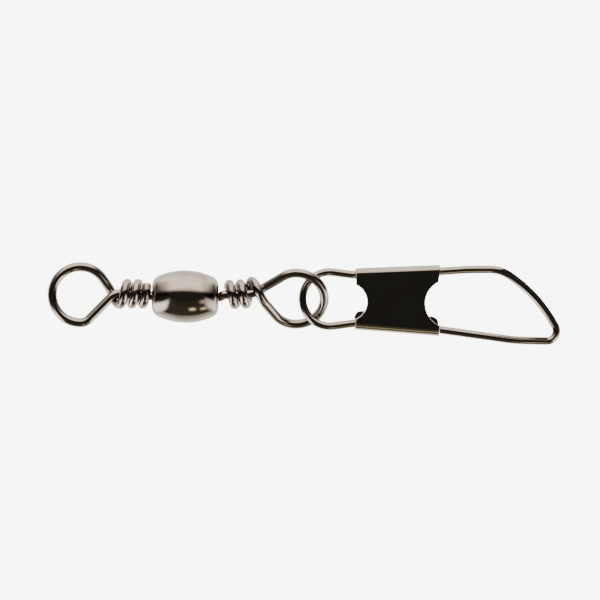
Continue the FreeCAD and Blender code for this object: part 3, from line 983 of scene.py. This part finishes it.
class SWIVEL_OT_lock_clasp(SwivelPiece, bpy.types.Operator):
    """Folds the clasp from one sheet, with a notch in each end, a flap at the back and a painted highlight
    along the lower fold
    """

    bl_idname = "swivel.lock_clasp"
    bl_label = "Lock Clasp"

    def execute(self, context):
        scene = context.scene
        clasp, stock = scene.swivel_clasp, scene.swivel_stock
        start, end = mm(clasp.start), mm(clasp.start) + mm(clasp.length)
        middle = (start + end) / 2
        sheet = mm(stock.sheet)
        fold_r = mm(stock.snap_wire) / 2 + mm(clasp.fold_gap)
        bm = bmesh.new()
        clasp_section(bm, clasp, start, fold_r)
        clasp_section(bm, clasp, end, fold_r)
        bmesh.ops.bridge_loops(bm, edges=bm.edges[:])
        flap_corners = [vert for vert in bm.verts if self.on_flap_end(vert.co, clasp)]
        bmesh.ops.bevel(bm, geom=flap_corners, offset=mm(clasp.flap_corner), segments=FLAP_CORNER_STEPS,
                        profile=0.5, affect="VERTICES", material=-1)
        for u in (start + mm(clasp.hem), middle, end - mm(clasp.hem)):
            bmesh.ops.bisect_plane(bm, geom=bm.verts[:] + bm.edges[:] + bm.faces[:], plane_co=(u, 0, 0),
                                   plane_no=ALONG)
        open_back = [face for face in bm.faces if self.beyond_lip(face, clasp, middle)]
        bmesh.ops.delete(bm, geom=open_back, context="FACES")
        bmesh.ops.recalc_face_normals(bm, faces=bm.faces)
        sheet_object = as_object(bm, "sheet")

        wall = sheet_object.modifiers.new("wall", "SOLIDIFY")
        wall.thickness = sheet
        wall.offset = 1.0
        near = notch_cutter(
            upper_fold(clasp, start) - Vector((0, mm(clasp.near_upper), 0)),
            Vector((0, 0, 0)),
            lower_fold(clasp, start) + Vector((0, mm(clasp.near_lower), 0)),
            mm(clasp.near_notch),
            -1,
        )
        far = notch_cutter(
            upper_fold(clasp, end),
            Vector((-mm(clasp.far_slant), -mm(clasp.far_upper), 0)),
            lower_fold(clasp, end) + Vector((0, mm(clasp.far_lower), 0)),
            mm(clasp.far_notch),
            1,
        )
        cut(sheet_object, near)
        cut(sheet_object, far)
        weld = sheet_object.modifiers.new("no slivers", "WELD")
        weld.merge_threshold = SLIVER
        soften = sheet_object.modifiers.new("cut edges", "BEVEL")
        soften.width = mm(clasp.edge)
        soften.segments = 2
        soften.limit_method = "ANGLE"
        soften.angle_limit = CREASE
        soften.material = CUT_EDGE
        for finish in (clasp_plating, cut_plating, painted_sheen_plating):
            sheet_object.data.materials.append(finish(scene.swivel_finish))
        piece = evaluated_copy(sheet_object, "clasp")
        for cutter in (near, far):
            bpy.data.objects.remove(cutter)
        # Faces of the lower fold that look down and up from the table get the painted highlight
        for face in piece.data.polygons:
            if face.material_index == PLATE and face.normal.y < -PAINTED_SHEEN_DOWN and face.normal.z > PAINTED_SHEEN_UP:
                face.material_index = PAINTED_SHEEN
        piece.data.transform(Matrix.Scale(MM, 4) @ snap_place())
        piece.data.shade_smooth()
        even = piece.modifiers.new("flat faces stay flat", "WEIGHTED_NORMAL")
        even.keep_sharp = False
        even.weight = 100
        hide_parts("lock_clasp")
        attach(piece, "snap")
        return {"FINISHED"}

    @staticmethod
    def on_flap_end(place, clasp):
        """True at the back, at the height where the flap ends."""
        off = place.y - lower_fold(clasp, place.x).y - mm(clasp.flap)
        return place.z < 0 and abs(off) < SAME_CORNER

    @staticmethod
    def beyond_lip(face, clasp, middle):
        """True for the upper fold's back on the side of the nose, which the hook leaves open."""
        place = face.calc_center_median()
        across = place.y - upper_fold(clasp, place.x).y
        on_upper_fold = across > -mm(clasp.upper_v) / 2
        return place.x > middle and on_upper_fold and math.atan2(-place.z, across) > clasp.lip_wrap


class SWIVEL_OT_studio(SwivelPiece, bpy.types.Operator):
    """Sets the camera, the pale floor and the bands of light that the metal mirrors"""

    bl_idname = "swivel.studio"
    bl_label = "Studio"

    def execute(self, context):
        scene = context.scene
        studio = scene.swivel_studio
        camera = bpy.data.cameras.new("camera")
        camera.lens = studio.lens
        viewer = bpy.data.objects.new("camera", camera)
        scene.collection.objects.link(viewer)
        scene.camera = viewer
        distance = studio.width * camera.lens / camera.sensor_width
        viewer.location = (*studio.middle, distance)
        viewer.rotation_euler = (0, 0, studio.turn)
        camera.clip_start, camera.clip_end = distance / 100, distance * 100
        self.floor(studio)
        self.dark_card(studio)
        self.bands(scene, studio)
        return {"FINISHED"}

    @staticmethod
    def matt(name, shade, glow=0.0):
        """A plain matt finish for the studio's own pieces."""
        material = bpy.data.materials.new(name)
        material.use_nodes = True
        shader = material.node_tree.nodes["Principled BSDF"]
        shader.inputs["Base Color"].default_value = (*shade, 1)
        shader.inputs["Roughness"].default_value = 1.0
        shader.inputs["Emission Color"].default_value = (1, 1, 1, 1)
        shader.inputs["Emission Strength"].default_value = glow
        return material

    def floor(self, studio):
        """A pale floor that takes no shadow and isn't mirrored, as the photograph has it."""
        bm = bmesh.new()
        bmesh.ops.create_grid(bm, x_segments=1, y_segments=1, size=studio.floor_size / 2,
                              matrix=Matrix.Translation((0, 0, -studio.floor_drop)))
        floor = as_object(bm, "floor")
        floor.data.materials.append(self.matt("pale floor", (0.9, 0.9, 0.9), glow=studio.white))
        floor.visible_glossy = False
        floor.visible_shadow = False

    def dark_card(self, studio):
        """A black card that stands beyond the nose and is only mirrored, in the outer side of the arm."""
        bm = bmesh.new()
        facing = Matrix.Rotation(studio.card_turn, 4, "Z") @ Matrix.Rotation(math.pi / 2, 4, "Y")
        bmesh.ops.create_grid(bm, x_segments=1, y_segments=1, size=0.5)
        bmesh.ops.scale(bm, verts=bm.verts, vec=(studio.card_height, studio.card_width, 1))
        standing = Matrix.Translation((*studio.card_place, 0)) @ facing
        bmesh.ops.transform(bm, matrix=standing, verts=bm.verts)
        card = as_object(bm, "dark_card")
        card.data.materials.append(self.matt("black card", (0.008, 0.007, 0.006)))
        card.visible_camera = False
        card.visible_shadow = False
        card.visible_diffuse = False

    def bands(self, scene, studio):
        """What the metal mirrors: bands round the swivel's axis by the angle from straight up, dimmer towards
        the swivel's two ends, with softer patches of light laid over them."""
        world = bpy.data.worlds.new("studio")
        scene.world = world
        world.use_nodes = True
        tree = world.node_tree
        tree.nodes.clear()
        out = add(tree, "ShaderNodeOutputWorld")
        way = add(tree, "ShaderNodeTexCoord")
        part = add(tree, "ShaderNodeSeparateXYZ")
        link(tree, way.outputs["Generated"], part.inputs[0])
        angle = math_node(tree, "ARCTAN2", part.outputs["Y"], part.outputs["Z"])
        turn = math_node(tree, "DIVIDE", angle, 2 * math.pi)
        ramp = add(tree, "ShaderNodeValToRGB")
        ramp.color_ramp.interpolation = "EASE"
        while len(ramp.color_ramp.elements) < len(BANDS):
            ramp.color_ramp.elements.new(0.5)
        for (degrees_round, shade), stop in zip(BANDS, ramp.color_ramp.elements):
            stop.position = degrees_round / 360 + 0.5
            stop.color = (*shade, 1)
        link(tree, math_node(tree, "ADD", turn, 0.5), ramp.inputs[0])

        sideways = math_node(tree, "ABSOLUTE", part.outputs["X"])
        towards_arm = math_node(tree, "GREATER_THAN", turn, 0.0)
        arm_side = math_node(tree, "MULTIPLY", fade(tree, turn, **ARM_SIDE), towards_arm)
        ends = add(tree, "ShaderNodeMix", data_type="FLOAT")
        link(tree, arm_side, ends.inputs["Factor"])
        link(tree, fade(tree, sideways, **END_DIMMING), ends.inputs["A"])
        link(tree, fade(tree, sideways, **ARM_DIMMING), ends.inputs["B"])
        faded = add(tree, "ShaderNodeMix", data_type="RGBA", blend_type="MULTIPLY")
        faded.inputs["Factor"].default_value = 1.0
        link(tree, ramp.outputs[0], faded.inputs["A"])
        link(tree, ends.outputs["Result"], faded.inputs["B"])
        sight = faded.outputs["Result"]
        for shade, across, across_reach, degrees_round, round_reach, degrees_lean, falloff in LAMPS:
            lamp = add(tree, "ShaderNodeGroup", node_tree=lamp_patch())
            lamp.inputs["Shade"].default_value = (*shade, 1)
            lamp.inputs["Middle Across"].default_value = across
            lamp.inputs["Reach Across"].default_value = across_reach
            lamp.inputs["Middle Round"].default_value = degrees_round / 360
            lamp.inputs["Reach Round"].default_value = round_reach / 360
            lamp.inputs["Lean"].default_value = degrees_lean / 360
            lamp.inputs["Falloff"].default_value = falloff
            link(tree, sight, lamp.inputs["Behind"])
            link(tree, part.outputs["X"], lamp.inputs["Across"])
            link(tree, turn, lamp.inputs["Round"])
            sight = lamp.outputs["Colour"]

        mirrored = add(tree, "ShaderNodeBackground", {"Strength": studio.strength})
        link(tree, sight, mirrored.inputs["Color"])
        seen = add(tree, "ShaderNodeBackground", {"Color": (1, 1, 1, 1), "Strength": studio.white})
        path = add(tree, "ShaderNodeLightPath")
        both = add(tree, "ShaderNodeMixShader")
        link(tree, path.outputs["Is Camera Ray"], both.inputs[0])
        link(tree, mirrored.outputs[0], both.inputs[1])
        link(tree, seen.outputs[0], both.inputs[2])
        link(tree, both.outputs[0], out.inputs[0])


class SWIVEL_PT_pieces(bpy.types.Panel):
    """Lists the swivel's pieces and sizes in the sidebar"""

    bl_idname = "SWIVEL_PT_pieces"
    bl_label = "Snap Swivel"
    bl_space_type = "VIEW_3D"
    bl_region_type = "UI"
    bl_category = "Swivel"

    def draw(self, context):
        column = self.layout.column(align=True)
        for operator in OPERATORS:
            column.operator(operator.bl_idname)
        for name, group in GROUPS.items():
            box = self.layout.box()
            box.label(text=group.bl_rna.name)
            for prop in group.__annotations__:
                box.prop(getattr(context.scene, name), prop)


OPERATORS = (
    SWIVEL_OT_barrel,
    SWIVEL_OT_line_eye,
    SWIVEL_OT_snap_eye,
    SWIVEL_OT_snap_wire,
    SWIVEL_OT_lock_clasp,
    SWIVEL_OT_studio,
)
CLASSES = (*GROUPS.values(), *OPERATORS, SWIVEL_PT_pieces)


def register():
    for cls in CLASSES:
        bpy.utils.register_class(cls)
    for name, group in GROUPS.items():
        setattr(bpy.types.Scene, name, PointerProperty(type=group))


def unregister():
    for name in GROUPS:
        delattr(bpy.types.Scene, name)
    for cls in reversed(CLASSES):
        bpy.utils.unregister_class(cls)


def main():
    register()
    bpy.ops.swivel.barrel()
    bpy.ops.swivel.line_eye()
    bpy.ops.swivel.snap_eye()
    bpy.ops.swivel.snap_wire()
    bpy.ops.swivel.lock_clasp()
    bpy.ops.swivel.studio()


if __name__ == "__main__":
    main()
